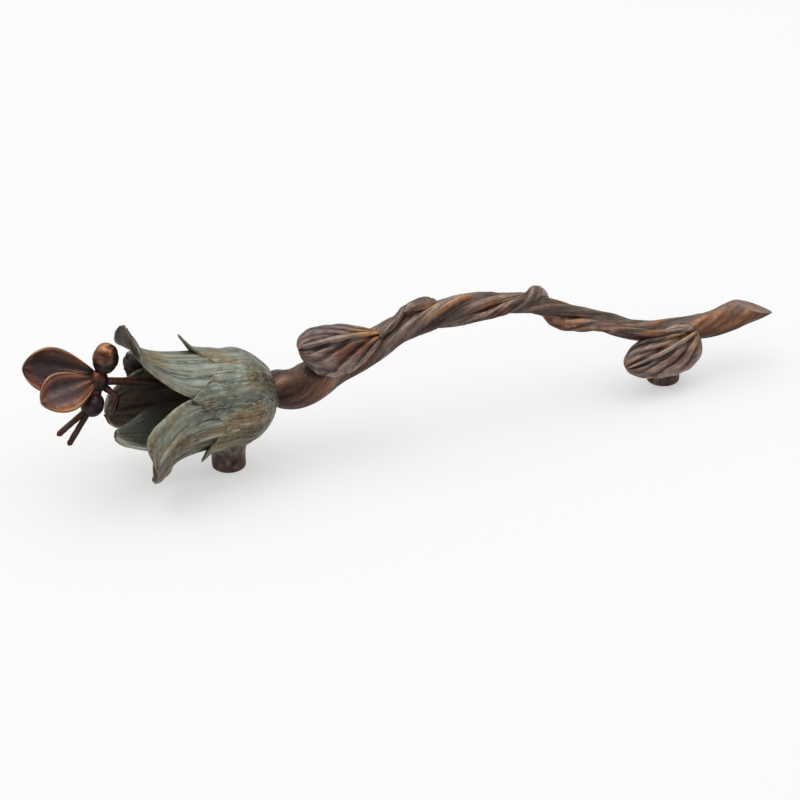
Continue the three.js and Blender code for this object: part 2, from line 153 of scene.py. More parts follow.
def add_piece(name, skins, material):
    """One visible piece, made of closed grids."""
    points, faces, flows, start = [], [], [], 0
    values = {key: [] for key in FIELDS}
    for part in skins:
        rows, columns = part["grid"].shape[:2]
        number = start + np.arange(rows * columns).reshape(rows, columns)
        across = np.roll(number, -1, axis=1)
        faces.append(np.stack([number[:-1], across[:-1], across[1:], number[1:]], -1).reshape(-1, 4))
        points.append(part["grid"].reshape(-1, 3))
        flows.append(part["flow"].reshape(-1, 3))
        for key in FIELDS:
            values[key].append(np.broadcast_to(part.get(key, 0.0), (rows, columns)).reshape(-1))
        start += rows * columns
    points = (np.concatenate(points) + SHIFT) * MM
    mesh = bpy.data.meshes.new(name)
    mesh.from_pydata(points.tolist(), [], np.concatenate(faces).tolist())
    for key in FIELDS:
        layer = mesh.attributes.new(key, "FLOAT", "POINT")
        layer.data.foreach_set("value", np.concatenate(values[key]).astype(np.float32))
    layer = mesh.attributes.new("flow", "FLOAT_VECTOR", "POINT")
    layer.data.foreach_set("vector", np.concatenate(flows).astype(np.float32).reshape(-1))
    piece = bpy.data.objects.new(name, mesh)
    bpy.context.scene.collection.objects.link(piece)
    close_and_smooth(mesh)
    mesh.materials.append(material)
    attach(piece, "root")
    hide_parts(CASTING)
    return piece


def close_and_smooth(mesh):
    """Joins points that fall together, such as a closed end's, and turns all faces outward."""
    work = bmesh.new()
    work.from_mesh(mesh)
    bmesh.ops.remove_doubles(work, verts=work.verts, dist=SAME_POINT * MM)
    bmesh.ops.recalc_face_normals(work, faces=work.faces)
    for face in work.faces:
        face.smooth = True
    work.to_mesh(mesh)
    work.free()


def shrink_to(ring, rows, middle=None):
    """Rows that close a ring of points on its middle."""
    middle = ring.mean(axis=0) if middle is None else middle
    shares = np.linspace(0, 1, rows + 1)[1:, None, None]
    return ring[None] * (1 - shares) + middle * shares


def with_ends(rows, first=END_ROWS, last=END_ROWS):
    """Rows of a rod with both ends closed."""
    return np.concatenate([shrink_to(rows[0], first)[::-1], rows, shrink_to(rows[-1], last)])


def rod(centre, across, above, radius, **fields):
    """A closed rod: radius is a grid of rows along it by places round it."""
    angle = np.linspace(0, 2 * np.pi, radius.shape[1], endpoint=False)
    above_part, across_part = radius * np.cos(angle), radius * np.sin(angle)
    grid = centre[:, None] + above[:, None] * above_part[..., None]
    grid = grid + across[:, None] * across_part[..., None]
    run = np.concatenate([[0], np.cumsum(np.linalg.norm(np.diff(centre, axis=0), axis=1))])
    flow = point_at(run[:, None], above_part, across_part)
    return skin(with_ends(grid), with_ends(flow), **fields)


def rod_along(points, radius, sides=20, rows=60, seed=0, lumps=0.0, **fields):
    """A closed rod through a few points, with rounded ends."""
    points = np.array(points, float)
    reach = np.concatenate([[0], np.cumsum(np.linalg.norm(np.diff(points, axis=0), axis=1))])
    t = 0.5 - 0.5 * np.cos(np.linspace(0, np.pi, rows))
    knots = [tuple([place]) + tuple(point) for place, point in zip(reach / reach[-1], points)]
    centre = point_at(*[smoothly(knots, axis)(t) for axis in (1, 2, 3)])
    along = unit(np.gradient(centre, axis=0))
    across = unit(np.cross(along, UP))
    above = np.cross(across, along)
    ends = np.sqrt(np.clip(np.minimum(t, 1 - t) * reach[-1] / radius, 0, 1))
    angle = np.linspace(0, 2 * np.pi, sides, endpoint=False)
    where = point_at(np.cos(angle)[None], np.sin(angle)[None], (t * reach[-1] / radius)[:, None])
    size = radius * ends[:, None] * (1 + lumps * noise(where * 1.3, seed))
    return rod(centre, across, above, size, **fields)


def blade(middle, size, thickness, counts, height, lines, **fields):
    """A closed sheet with a rounded rim. Size is its length and half width, lines the relief on it.

    Every field is a function of the place across and along the sheet and of being on its under side.
    """
    u = np.sin(np.linspace(-np.pi / 2, np.pi / 2, counts[0]))[None]
    v = np.linspace(0, 1, counts[1])[:, None]
    step = 1e-3
    surface = middle(u, v)
    sideways = middle(np.minimum(u + step, 1), v) - middle(np.maximum(u - step, -1), v)
    onward = middle(u, np.minimum(v + step, 1)) - middle(u, np.maximum(v - step, 0))
    normal = unit(np.cross(onward, sideways))
    near_end = np.minimum(v, 1 - v)
    rim = (1 - u ** 4) ** 0.5 * np.clip(near_end * 14, 0, 1) ** 0.5
    pattern = lines(u, v)
    half = normal * (thickness / 2 * rim)[..., None]
    raised = normal * (height * pattern * rim)[..., None]
    lower = (surface - half + 0.6 * raised)[:, -2:0:-1]
    grid = np.concatenate([surface + half + raised, lower], axis=1)
    flow = point_at(v * size[0], u * size[1], 0.0)
    flow = np.concatenate([flow, flow[:, -2:0:-1] + (0, 0, 2 * thickness)], axis=1)
    edge = np.maximum(np.abs(u), 1 - np.clip(near_end * 10, 0, 1) * np.ones_like(u))
    under = np.concatenate([np.zeros_like(pattern), np.ones_like(pattern)[:, -2:0:-1]], axis=1)
    u, v = both_sides(u * np.ones_like(v)), both_sides(v * np.ones_like(u))
    fields = {key: field_at(u, v, under) for key, field_at in fields.items()}
    return skin(grid, flow, relief=both_sides(np.clip(pattern, -1, 1)), rim=both_sides(edge), **fields)


def both_sides(values):
    """A field of a blade's upper side, carried over to its under side."""
    return np.concatenate([values, values[:, -2:0:-1]], axis=1)


BALL_GRID = (60, 60)
LUMPS_PER_BALL = 2.2
RING_DEPTH = 0.07


def ball(place, radii, lean, seed, lumps=0.03, rings=0, **fields):
    """A lumpy ellipsoid, with grooves round it or none, turned about the Y axis."""
    turn = np.linspace(0, 2 * np.pi, BALL_GRID[0], endpoint=False)[None]
    rise = np.linspace(0, np.pi, BALL_GRID[1])[:, None]
    sphere = point_at(np.sin(rise) * np.cos(turn), np.sin(rise) * np.sin(turn), np.cos(rise))
    bumps = layered(sphere * LUMPS_PER_BALL, seed)
    ringed = np.abs(np.cos(rise * rings)) ** 0.5 - 1 if rings else 0.0 * rise
    solid = sphere * (1 + lumps * bumps + RING_DEPTH * ringed)[..., None] * np.array(radii)
    cos, sin = math.cos(math.radians(lean)), math.sin(math.radians(lean))
    tilt = np.array([[cos, 0, sin], [0, 1, 0], [-sin, 0, cos]])
    return skin(solid @ tilt.T + place, solid, relief=np.clip(bumps + ringed, -1, 1), **fields)


# Twig

TWIG_SHAPE = [
    (-0.83, 21.0, 3.8), (-0.775, 20.9, 5.0), (-0.703, 20.0, 5.5), (-0.625, 21.0, 5.5),
    (-0.516, 24.0, 4.9), (-0.39, 27.3, 4.4), (-0.25, 31.1, 3.8), (-0.094, 34.0, 3.5),
    (0.063, 35.2, 3.0), (0.219, 34.3, 2.8), (0.39, 31.3, 2.6), (0.563, 26.4, 2.5),
    (0.734, 20.9, 2.6), (0.89, 17.1, 2.8), (1.031, 15.2, 3.0), (1.172, 14.8, 3.5),
    (1.344, 16.0, 3.8), (1.453, 17.1, 3.1), (1.531, 18.2, 2.3),
]
TWIG_RIDGES = 3
TWIG_RIDGE_HEIGHT = 0.32
TWIG_TWIST_PITCH = 62.0
TWIG_OVERHANG = 30.7
TWIG_TIP_HEIGHT = 15.9
TWIG_CUT_ANGLE = math.radians(24)
BARK_DEPTH = 0.34
TWIG_LUMP = 0.15
TWIG_GRID = (140, 440)
CUT_ROWS = 14
CUT_SAG = 0.25
CUT_ROUGHNESS = 0.08
CUT_SEARCH_FROM = 100.0
CUT_SEARCH_STEPS = 24


def spanned(rows):
    """Rows whose first number is a share of half the post spacing, with it in millimetres."""
    return [(row[0] * POST_SPACING / 2,) + tuple(row[1:]) for row in rows]


TWIG_LINE = spanned(TWIG_SHAPE)
twig_height = smoothly(TWIG_LINE, 1)
twig_radius = smoothly(TWIG_LINE, 2)


def twig_place(x):
    """The twig's centre, and the direction above it, at places along X."""
    x = np.asarray(x, float)
    reach = 0.2
    rise = (twig_height(x + reach) - twig_height(x - reach)) / (2 * reach)
    centre = point_at(x, 0.0, twig_height(x))
    above = unit(point_at(-rise, 0.0, 1.0))
    return centre, above


def on_twig(x, turn, height):
    centre, above = twig_place(x)
    outward = above * np.cos(turn)[..., None] + FRONT * np.sin(turn)[..., None]
    return centre + outward * np.asarray(height)[..., None], outward


def bark(x, angle):
    """Long grooves that follow the twig's twist, from -1 in a groove to 1 on a ridge."""
    twisted = angle + 2 * np.pi * x / TWIG_TWIST_PITCH
    long_grooves = grooves(round_place(twisted, 2.6, x / 16), 11, depth=2.2)
    short_grooves = grooves(round_place(twisted, 6.0, x / 9), 12)
    return np.clip(0.6 * long_grooves + 0.4 * short_grooves, -1, 1)


def along_share(x, start, end):
    """0 before a place along X, 1 after another, in shares of half the post spacing."""
    return np.clip((np.asarray(x) * 2 / POST_SPACING - start) / (end - start), 0, 1)


def twig_skin(x, angle):
    """The distance of the twig's surface from its centre, and the relief on it."""
    twist = 2 * np.pi * x / TWIG_TWIST_PITCH
    relief = bark(x, angle)
    ridges = np.cos(TWIG_RIDGES * (angle + twist))
    lumps = noise(round_place(angle, 1.0, x / 6), 13)
    smooth_left = 1 - 0.5 * along_share(-x, 0.45, 0.7)
    smooth_end = 1 - 0.65 * along_share(x, 1.1, 1.2)
    depth = BARK_DEPTH * smooth_left * smooth_end
    away = twig_radius(x) + TWIG_RIDGE_HEIGHT * ridges + depth * (relief - 0.3) + TWIG_LUMP * lumps
    return away, (0.55 * relief * smooth_left + 0.35 * ridges) * smooth_end


def make_twig(material):
    cut_normal = np.array((math.sin(TWIG_CUT_ANGLE), 0, math.cos(TWIG_CUT_ANGLE)))
    cut_place = np.array((POST_SPACING / 2 + TWIG_OVERHANG, 0, TWIG_TIP_HEIGHT))
    angle = np.linspace(0, 2 * np.pi, TWIG_GRID[0], endpoint=False)[None]
    start, end = TWIG_LINE[0][0], TWIG_LINE[-1][0]

    def surface(x):
        away, relief = twig_skin(x, angle * np.ones_like(x))
        return on_twig(x, angle * np.ones_like(x), away)[0], relief

    low, high = np.full_like(angle, start + CUT_SEARCH_FROM), np.full_like(angle, end)
    for _ in range(CUT_SEARCH_STEPS):
        middle = (low + high) / 2
        beyond = (surface(middle)[0] - cut_place) @ cut_normal > 0
        low, high = np.where(beyond, low, middle), np.where(beyond, middle, high)
    t = np.linspace(0, 1, TWIG_GRID[1])[:, None]
    x = start + (high - start) * t
    grid, relief = surface(x)
    twisted = angle + 2 * np.pi * x / TWIG_TWIST_PITCH
    flow = point_at(x, twig_radius(x) * np.cos(twisted), twig_radius(x) * np.sin(twisted))
    at_end = along_share(x, 1.1, 1.22)
    # Darker towards the flower; at the cut end the lower side is darker too, as painted shade.
    dark = 0.7 * along_share(-x, 0.5, 0.72) + at_end * np.clip(0.2 - np.cos(angle), 0, 1)
    warm = at_end * np.clip(1.2 - np.abs(np.cos(angle)), 0, 1)
    grid, flow = (with_ends(rows, END_ROWS, CUT_ROWS) for rows in (grid, flow))
    rings = np.linspace(0, 1, CUT_ROWS + 1)[1:, None] * np.ones_like(angle)
    grain = noise(grid[-CUT_ROWS:] * 1.6, 14)
    sag = -CUT_SAG * np.sin(rings * np.pi / 2) + CUT_ROUGHNESS * grain
    grid[-CUT_ROWS:] += cut_normal * sag[..., None]
    blank = np.zeros((END_ROWS, angle.size))
    relief = np.concatenate([blank, relief, 0.35 + 0.4 * grain])
    dark, warm = (np.concatenate([blank, field, np.zeros_like(grain)]) for field in (dark, warm))
    cut_face = np.concatenate([blank, np.zeros_like(x), np.ones_like(grain)])
    sheath = skin(grid, flow, relief=relief, rim=cut_face, dark=dark, warm=warm)
    return add_piece("twig", [sheath], material)


# Vine

VINE_SHAPE = [
    (-0.32, 44, 1.0), (-0.285, 34, 1.1), (-0.236, 16, 1.1), (-0.196, -12, 1.2), (-0.16, -60, 1.4),
    (-0.094, -135, 1.6), (-0.016, -180, 1.6), (0.051, -203, 1.6), (0.142, -222, 1.6),
    (0.195, -250, 1.6), (0.25, -277, 1.6), (0.325, -319, 1.7), (0.378, -374, 2.0),
    (0.43, -430, 1.9), (0.487, -510, 2.0), (0.535, -565, 2.1), (0.594, -598, 1.9),
    (0.656, -620, 1.5), (0.75, -634, 1.3), (0.89, -640, 1.2), (1.031, -646, 1.1), (1.11, -652, 1.0),
]
VINE_STAND_OFF = 0.3
VINE_GROOVE = 0.12
VINE_LUMP = 0.1
VINE_GRID = (36, 620)
# Where along the twig the vine's painted highlight sits, and how far it reaches.
VINE_HIGHLIGHT_AT = 0.53
VINE_HIGHLIGHT_REACH = 0.07
KNOT_PLACE = -0.13
KNOT_TURN = math.radians(-14)
KNOT = dict(radii=(5.1, 2.2, 2.3), lean=-13.0, seed=23, lumps=0.12)


def make_vine(material):
    line = spanned(VINE_SHAPE)
    x = np.linspace(line[0][0], line[-1][0], VINE_GRID[1])
    turn = np.radians(smoothly(line, 1)(x))
    radius = smoothly(line, 2)(x)
    centre, outward = on_twig(x, turn, twig_radius(x) + VINE_STAND_OFF * radius)
    along = unit(np.gradient(centre, axis=0))
    across = unit(np.cross(along, outward))
    above = np.cross(across, along)
    angle = np.linspace(0, 2 * np.pi, VINE_GRID[0], endpoint=False)[None]
    run = np.cumsum(np.linalg.norm(np.gradient(centre, axis=0), axis=1))[:, None]
    relief = grooves(round_place(angle + run / 9, 2.0, run / 8), 21)
    lumps = noise(round_place(angle, 0.0, run / 3), 22)
    size = radius[:, None] + VINE_GROOVE * relief + VINE_LUMP * lumps
    facing = above[:, None] * np.cos(angle)[..., None] + across[:, None] * np.sin(angle)[..., None]
    # Painted highlight: a bright patch in the rim colour where the vine faces front and up.
    from_highlight = x * 2 / POST_SPACING - VINE_HIGHLIGHT_AT
    rim_share = np.exp(-(from_highlight / VINE_HIGHLIGHT_REACH) ** 2)[:, None]
    rim_share = np.clip(1.5 * rim_share * (facing @ unit(FRONT + UP)), 0, 1)
    relief, rim_share = (np.concatenate([field[[0] * END_ROWS], field, field[[-1] * END_ROWS]])
                      for field in (relief, rim_share))
    stem = rod(centre, across, above, size, relief=relief, rim=rim_share)
    knot_x = np.array(KNOT_PLACE * POST_SPACING / 2)
    knot_at = on_twig(knot_x, np.array(KNOT_TURN), twig_radius(knot_x))[0]
    return add_piece("vine", [stem, ball(knot_at, **KNOT)], material)


# Leaves

LEAF_THICKNESS = 1.5
LEAF_FIRST = dict(
    place=-0.306, turn=38, sink=0.2, length=23.2, heading=(-23.4, 2.4, -1.2), face=(0, -0.37, 0.93),
    half_widths=(8.6, 9.2), outlines=((1.75, 0.45), (1.4, 0.45)), fold=0.3, roll=0.12, bow=2.2,
    bend=0.6, painted_shade=0.9, pale=0.0, painted_highlight=1.0)
# The second leaf's pale of 0.25 makes it lighter all over: painted light, as it is lit more than the
# first.
LEAF_SECOND = dict(
    place=1.134, turn=78, sink=0.2, length=24.9, heading=(-23.9, -5.0, -4.8), face=(0.05, -0.8, 0.6),
    half_widths=(6.4, 7.9), outlines=((0.9, 0.42), (0.52, 0.48)), fold=0.14, roll=0.24, bow=0.8,
    bend=0.8, painted_shade=0.5, pale=0.25, painted_highlight=0.4)
LEAF_VEINS = 3.0
LEAF_VEIN_SLANT = 2.7
LEAF_VEIN_HEIGHT = 0.36
LEAF_RIPPLE = 0.35
LEAF_GRID = (110, 150)
# Painted shade: a burnt, darker patch over the middle of the leaf.
LEAF_SHADE_SPOT = dict(place=(0.42, 0.42), reach=(0.25, 0.28))
# Painted highlight at the leaf's base: a browner tint and a lighter patch.
LEAF_HIGHLIGHT_TINT = dict(place=(0.0, 0.0), reach=(0.5, 0.32))
LEAF_HIGHLIGHT_SPOT = dict(place=(0.0, 0.0), reach=(0.4, 0.25))


def blade_frame(heading, face):
    """Directions along a blade, across it and out of its face."""
    along = unit(np.array(heading, float))
    across = unit(np.cross(np.array(face, float), along))
    return along, across, np.cross(along, across)


def leaf_veins(u, t, seed):
    """Narrow grooves that leave the raised midrib at a slant, towards the tip, with folds between."""
    wander = 0.22 * noise(point_at(u * 2.5, t * 3, 0.0 * u * t), seed)
    phase = t * LEAF_VEINS - LEAF_VEIN_SLANT * np.abs(u) ** 0.8 + 0.25 * (u > 0) + wander
    off = np.abs(phase - np.round(phase))
    groove = np.exp(-((off / 0.15) ** 2))
    fold = 0.5 + 0.3 * np.cos(2 * np.pi * phase + 2.4)
    faint = np.clip((1 - t) / 0.3, 0.2, 1) * np.clip(t / 0.12, 0.3, 1)
    side = (fold - 1.5 * groove) * (1 - np.exp(-((u / 0.1) ** 2))) * (1 - 0.5 * u ** 4) * faint
    midrib = np.exp(-((u / 0.07) ** 2)) * 1.5
    beside = -np.exp(-(((np.abs(u) - 0.15) / 0.06) ** 2)) * 1.4
    return side + midrib + beside


def make_leaf(name, spec, material, seed):
    along, across, out = blade_frame(spec["heading"], spec["face"])
    x = np.array(spec["place"] * POST_SPACING / 2)
    base = on_twig(x, np.array(math.radians(spec["turn"])), twig_radius(x) - spec["sink"])[0]

    def middle(u, t):
        far = u < 0
        half_width = np.where(far, *spec["half_widths"])
        hump = np.sin(np.pi * t)
        full = np.where(far, *(np.maximum(0, np.sin(np.pi * t ** widen)) ** close
                               for widen, close in spec["outlines"]))
        wavy = 1 + 0.015 * np.sin(t * 31 + 2 * far) * np.abs(u)
        width = half_width * full * u * wavy
        fall = spec["fold"] * np.abs(width) + spec["roll"] * width ** 2 / half_width
        ripple = np.abs(u) ** 3 * noise(point_at(t * 5, np.sign(u) * 3.0, 0.0 * t * u), seed)
        height = spec["bow"] * hump - fall + LEAF_RIPPLE * ripple
        return (base + along * (spec["length"] * t)[..., None]
                + across * (width + spec["bend"] * hump)[..., None] + out * height[..., None])

    def lines(u, t):
        return leaf_veins(u, t, seed + 2) + 0.2 * noise(point_at(u * 26, t * 9, 0.0 * u * t), seed + 1)

    # Painted shade over the leaf's middle; the under side is half burnt.
    def dark(u, t, under):
        return np.maximum(spec["painted_shade"] * spot(u, t, **LEAF_SHADE_SPOT), 0.5 * under)

    # Painted highlight: the base of the leaf is made browner and lighter.
    def warm(u, t, under):
        return 1.6 * spec["painted_highlight"] * spot(u, t, **LEAF_HIGHLIGHT_TINT)

    def pale(u, t, under):
        return spec["pale"] + 0.7 * spec["painted_highlight"] * spot(u, t, **LEAF_HIGHLIGHT_SPOT)

    size = (spec["length"], max(spec["half_widths"]))
    sheet = blade(middle, size, LEAF_THICKNESS, LEAF_GRID, LEAF_VEIN_HEIGHT, lines,
                  dark=dark, warm=warm, pale=pale)
    return add_piece(name, [sheet], material)


# Flower

FLOWER_INSET = 12.5
FLOWER_HEIGHT = 20.2
FLOWER_TILT = math.radians(3.5)
NECK_RADIUS = 4.8
NECK_LIP = 0.8
BULB_RADIUS = 13.1
BULB_SHOULDER = 10.6
BULB_FULLNESS = 0.72
CALYX_FLOOR = 8.5
CALYX_FLOOR_ROUND = 2.0
CALYX_WALL = 2.3
CALYX_NOTCH = 17.2
SEPAL_STEP = 0.7
SEPAL_THICKNESS = 1.2
SEPAL_POINT = 1.35
SEPALS = [(25, 5), (26.5, 1.8), (23.4, 3.2), (25, 3), (25.5, 3)]
FIRST_SEPAL_TURN = math.radians(-14)
CALYX_BULB_ROWS = 14
CALYX_GRID = (360, 220)
CALYX_LINE_HEIGHT = 0.24
CALYX_MIDRIB_HEIGHT = 0.2
CALYX_LUMP = 0.25
CALYX_BROWN = [(6.5, 38), (9, 84), (15, 100)]
CALYX_BROWN_REACH = (2.6, 0.22)
CALYX_WARMTH = 0.15
PETAL_GRIP = 5.7
PETAL_SINK = 0.7
PETAL_THICKNESS = 1.5
PETAL_STRAIGHT = 14.0
PETAL_RIPPLE = 0.35
PETAL_RAGGEDNESS = 0.6
PETAL_TIP_GATHER = 2
PETAL_LINE_HEIGHT = 0.22
PETAL_GRID = (110, 130)
PETAL_LENGTH = 34.0
PETAL_BROWN = dict(place=(0.1, 0.45), reach=(0.35, 0.14))
PETAL_POINTED = [(0, 0.7), (0.3, 1), (0.5, 0.84), (0.6, 0.72), (0.7, 0.62), (0.8, 0.62), (0.9, 0.7),
                 (0.96, 0.64), (0.99, 0.4), (1, 0)]
PETAL_FLARED = [(0, 0.7), (0.3, 1), (0.75, 1), (0.86, 1), (0.95, 0.9), (0.985, 0.6), (1, 0)]
PETAL_BROAD = [(0, 0.7), (0.3, 1), (0.75, 1), (0.86, 0.9), (0.95, 0.6), (0.99, 0.3), (1, 0)]
PETAL_RAGGED = [(0, 0.7), (0.3, 1), (0.6, 0.9), (0.74, 0.68), (0.86, 0.5), (0.95, 0.36), (1, 0)]
# On each petal's inner side the first inner share is dark patina with painted shade; the second
# lightens it as painted light, and darkens it as painted shade where it is below 0.
PETALS = [
    dict(turn=10, tip_turn=0, spread=(50, 54), rise=1.6, outline=PETAL_POINTED,
         lead=(40, 12.6), tip=(41.4, 24.2), sides=((44, 16.5), (37, 24.5)), dark_from=0.52,
         inner_burnt_and_shade=0.8, inner_painted_light=-0.3),
    dict(turn=104, tip_turn=130, spread=(56, 36), rise=1, outline=PETAL_FLARED,
         lead=(32, 12.8), tip=(37.2, 20), sides=((43.6, 19), (29.6, 18.2)), dark_from=0.9,
         inner_burnt_and_shade=0.5, inner_painted_light=0.0),
    dict(turn=196, tip_turn=201, spread=(44, 44), rise=1, outline=PETAL_RAGGED,
         lead=(36, 11.5), tip=(42, 10.6), sides=((36, 10.8), (38, 11.5)), dark_from=0.85,
         inner_burnt_and_shade=0.0, inner_painted_light=2.4),
    dict(turn=240, tip_turn=240, spread=(42, 62), rise=1, outline=PETAL_RAGGED,
         lead=(38, 12.5), tip=(42.6, 12.6), sides=((41, 12.5), (41, 12.5)), dark_from=0.5,
         inner_burnt_and_shade=0.85, inner_painted_light=0.1),
    dict(turn=304, tip_turn=304, spread=(54, 54), rise=1, outline=PETAL_BROAD,
         lead=(34, 13), tip=(36.5, 15.5), sides=((35, 14), (35, 14)), dark_from=0.6,
         inner_burnt_and_shade=0.9, inner_painted_light=-0.9),
]

FLOWER_BASE = np.array((FLOWER_INSET - POST_SPACING / 2, 0, FLOWER_HEIGHT))
FLOWER_ALONG = np.array((-math.cos(FLOWER_TILT), 0, math.sin(FLOWER_TILT)))
FLOWER_ABOVE = np.array((math.sin(FLOWER_TILT), 0, math.cos(FLOWER_TILT)))


def in_flower(along, away, turn):
    """A point along the flower's axis, away from it, and turned from the top to the front."""
    along, away, turn = np.broadcast_arrays(along, away, turn)
    return (FLOWER_BASE + FLOWER_ALONG * along[..., None]
            + FLOWER_ABOVE * (away * np.cos(turn))[..., None]
            + FRONT * (away * np.sin(turn))[..., None])


def bulb_profile(along):
    rise = np.sin(np.pi / 2 * np.clip(along / BULB_SHOULDER, 0, 1))
    return NECK_RADIUS + (BULB_RADIUS - NECK_RADIUS) * rise ** BULB_FULLNESS


def sepal_at(turn):
    """Reach and flare of the sepal at a turn, and how near the turn is to its tip."""
    phase = len(SEPALS) * (turn - FIRST_SEPAL_TURN) / (2 * np.pi)
    nearest = np.round(phase).astype(int)
    reach, flare = np.array(SEPALS, float)[nearest % len(SEPALS)].T
    return reach, flare, (1 - 2 * np.abs(phase - nearest)) ** SEPAL_POINT


def striae(turn, along, seed, count=7.0):
    """Fine lines along the flower, from -1 in a line to 1 between them."""
    broad = noise(round_place(turn, count, along / 16), seed)
    fine = noise(round_place(turn, count * 2.3, along / 9), seed + 1)
    return np.clip(1.5 * (0.65 * broad + 0.5 * fine), -1, 1)


def smooth_rows(rows, count):
    """Each new row's place among the rows, and the new rows, read smoothly between them."""
    row = np.linspace(0, len(rows) - 1, count)
    low = np.clip(np.floor(row).astype(int), 0, len(rows) - 2)
    part = (row - low)[:, None, None]
    before, after = rows[np.maximum(low - 1, 0)], rows[np.minimum(low + 2, len(rows) - 1)]
    first, second = rows[low], rows[low + 1]
    square = 2 * before - 5 * first + 4 * second - after
    cubic = 3 * (first - second) + after - before
    return row, first + 0.5 * part * (second - before + part * (square + part * cubic))


def make_calyx(material):
    turn = np.linspace(0, 2 * np.pi, CALYX_GRID[0], endpoint=False)
    reach, flare, lobe = sepal_at(turn)
    rim = CALYX_NOTCH + (reach - CALYX_NOTCH) * lobe
    collar = BULB_RADIUS + SEPAL_STEP
    rim_away = collar + flare * lobe ** 2
    inside = BULB_RADIUS - CALYX_WALL
    bulb = [(share * BULB_SHOULDER, bulb_profile(share * BULB_SHOULDER))
            for share in np.linspace(0, 1, CALYX_BULB_ROWS)]
    outer = [(-1, NECK_RADIUS - NECK_LIP)] + bulb + [
        ((BULB_SHOULDER + CALYX_NOTCH) / 2, BULB_RADIUS + 0.1),
        (CALYX_NOTCH - 0.5, collar),
        (CALYX_NOTCH + (rim - CALYX_NOTCH) * 0.6, collar + (rim_away - collar) * 0.3),
        (rim, rim_away),
    ]
    inner = [
        (rim + 0.25, rim_away - SEPAL_THICKNESS * 0.5),
        (rim - 0.2, rim_away - SEPAL_THICKNESS),
        (CALYX_NOTCH + (rim - CALYX_NOTCH) * 0.5, collar - SEPAL_THICKNESS),
        (CALYX_NOTCH - CALYX_FLOOR_ROUND, inside),
        (CALYX_FLOOR + CALYX_FLOOR_ROUND, inside - 1),
        (CALYX_FLOOR, inside - 2 * CALYX_FLOOR_ROUND),
        (CALYX_FLOOR, 0.01),
    ]
    profile = np.array([np.broadcast_arrays(*row, turn)[:2] for row in outer + inner])
    row, curve = smooth_rows(profile, CALYX_GRID[1])
    past_rim = (row - (len(outer) - 1))[:, None]
    along, away = curve[:, 0], np.maximum(curve[:, 1], 0.01)
    around = turn[None] * np.ones_like(along)
    lines = striae(around, along, 31)
    lobes = np.broadcast_to(lobe[None], along.shape)
    outside = (past_rim < 1) * np.clip(away / 8, 0, 1)
    near_notch = np.exp(-((along - CALYX_NOTCH + 2) / 5) ** 2)
    midrib = np.exp(-(((1 - lobes) / 0.05) ** 2)) * near_notch
    lumps = noise(round_place(around, 2.5, along / 5), 33)
    raised = CALYX_LINE_HEIGHT * lines + CALYX_MIDRIB_HEIGHT * midrib + CALYX_LUMP * lumps
    away = away + outside * raised
    grid = in_flower(along, away, around)
    flow = point_at(along, away * np.cos(around), away * np.sin(around))
    edge = np.exp(-(past_rim - 0.6) ** 2)
    within = np.clip((past_rim - 1.5) / 2, 0, 1)
    spots = [spot(along, around, (place, math.radians(at)), CALYX_BROWN_REACH)
             for place, at in CALYX_BROWN]
    lines = np.clip(0.7 * lines + 0.5 * midrib + 0.3 * lumps, -1, 1)
    # Inside the cup: darker patina with painted shade over it.
    cup = skin(grid, flow, relief=lines, rim=edge, dark=0.9 * within, pale=-0.6 * within,
               warm=CALYX_WARMTH + sum(spots))
    return add_piece("calyx", [cup], material)


def bezier(points, t):
    a, b, c, d = (np.array(point, float) for point in points)
    t = t[..., None]
    return (1 - t) ** 3 * a + 3 * (1 - t) ** 2 * t * b + 3 * (1 - t) * t * t * c + t ** 3 * d


def petal_curve(rise, lead, end, t):
    root = (CALYX_NOTCH - PETAL_GRIP, BULB_RADIUS - PETAL_SINK)
    straight = (root[0] + PETAL_STRAIGHT, root[1] + rise)
    return bezier((root, straight, lead, end), t)


def make_petal(index, spec, material):
    width_at = smoothly(spec["outline"], 1)
    seed = 40 + 5 * index

    def middle(u, v):
        t = 1 - np.maximum(0, 1 - v) ** PETAL_TIP_GATHER
        far = u < 0
        width = np.maximum(0, width_at(t))
        share = width * u
        centre = petal_curve(spec["rise"], spec["lead"], spec["tip"], t)
        side = np.where(far[..., None], *(petal_curve(spec["rise"], spec["lead"], end, t)
                                          for end in spec["sides"]))
        place = centre + (side - centre) * (share ** 2)[..., None]
        along, away = place[..., 0], place[..., 1]
        edge_noise = noise(point_at(u * 4, 0.0 * t * u, 7.0), seed + 3)
        ragged = PETAL_RAGGEDNESS * edge_noise * t ** 6 * width
        root_away = BULB_RADIUS - PETAL_SINK
        narrowed = root_away / np.maximum(away, root_away)
        ripple = PETAL_RIPPLE * width * t * np.cos(5 * u + 3 * t)
        swing = spec["turn"] + (spec["tip_turn"] - spec["turn"]) * t * t
        swing = swing + np.where(far, *spec["spread"]) * share * narrowed
        return in_flower(along + ragged, away + ripple, np.radians(swing))

    # The tip is burnt; the inner side is darker with dark patina and painted shade.
    def dark(u, v, under):
        tip = np.clip((v - spec["dark_from"]) / 0.12, 0, 1)
        return np.maximum(tip, spec["inner_burnt_and_shade"] * under)

    def warm(u, v, under):
        return spot(u, v, **PETAL_BROWN) * (1 - under)

    # Painted light on the inner side, painted shade where the share is below 0.
    def pale(u, v, under):
        return spec["inner_painted_light"] * under

    size = (PETAL_LENGTH, math.radians(max(spec["spread"])) * BULB_RADIUS)
    sheet = blade(middle, size, PETAL_THICKNESS, PETAL_GRID, PETAL_LINE_HEIGHT,
                  lambda u, v: petal_lines(u, v, seed), dark=dark, warm=warm, pale=pale)
    return add_piece("petal_%d" % (index + 1), [sheet], material)


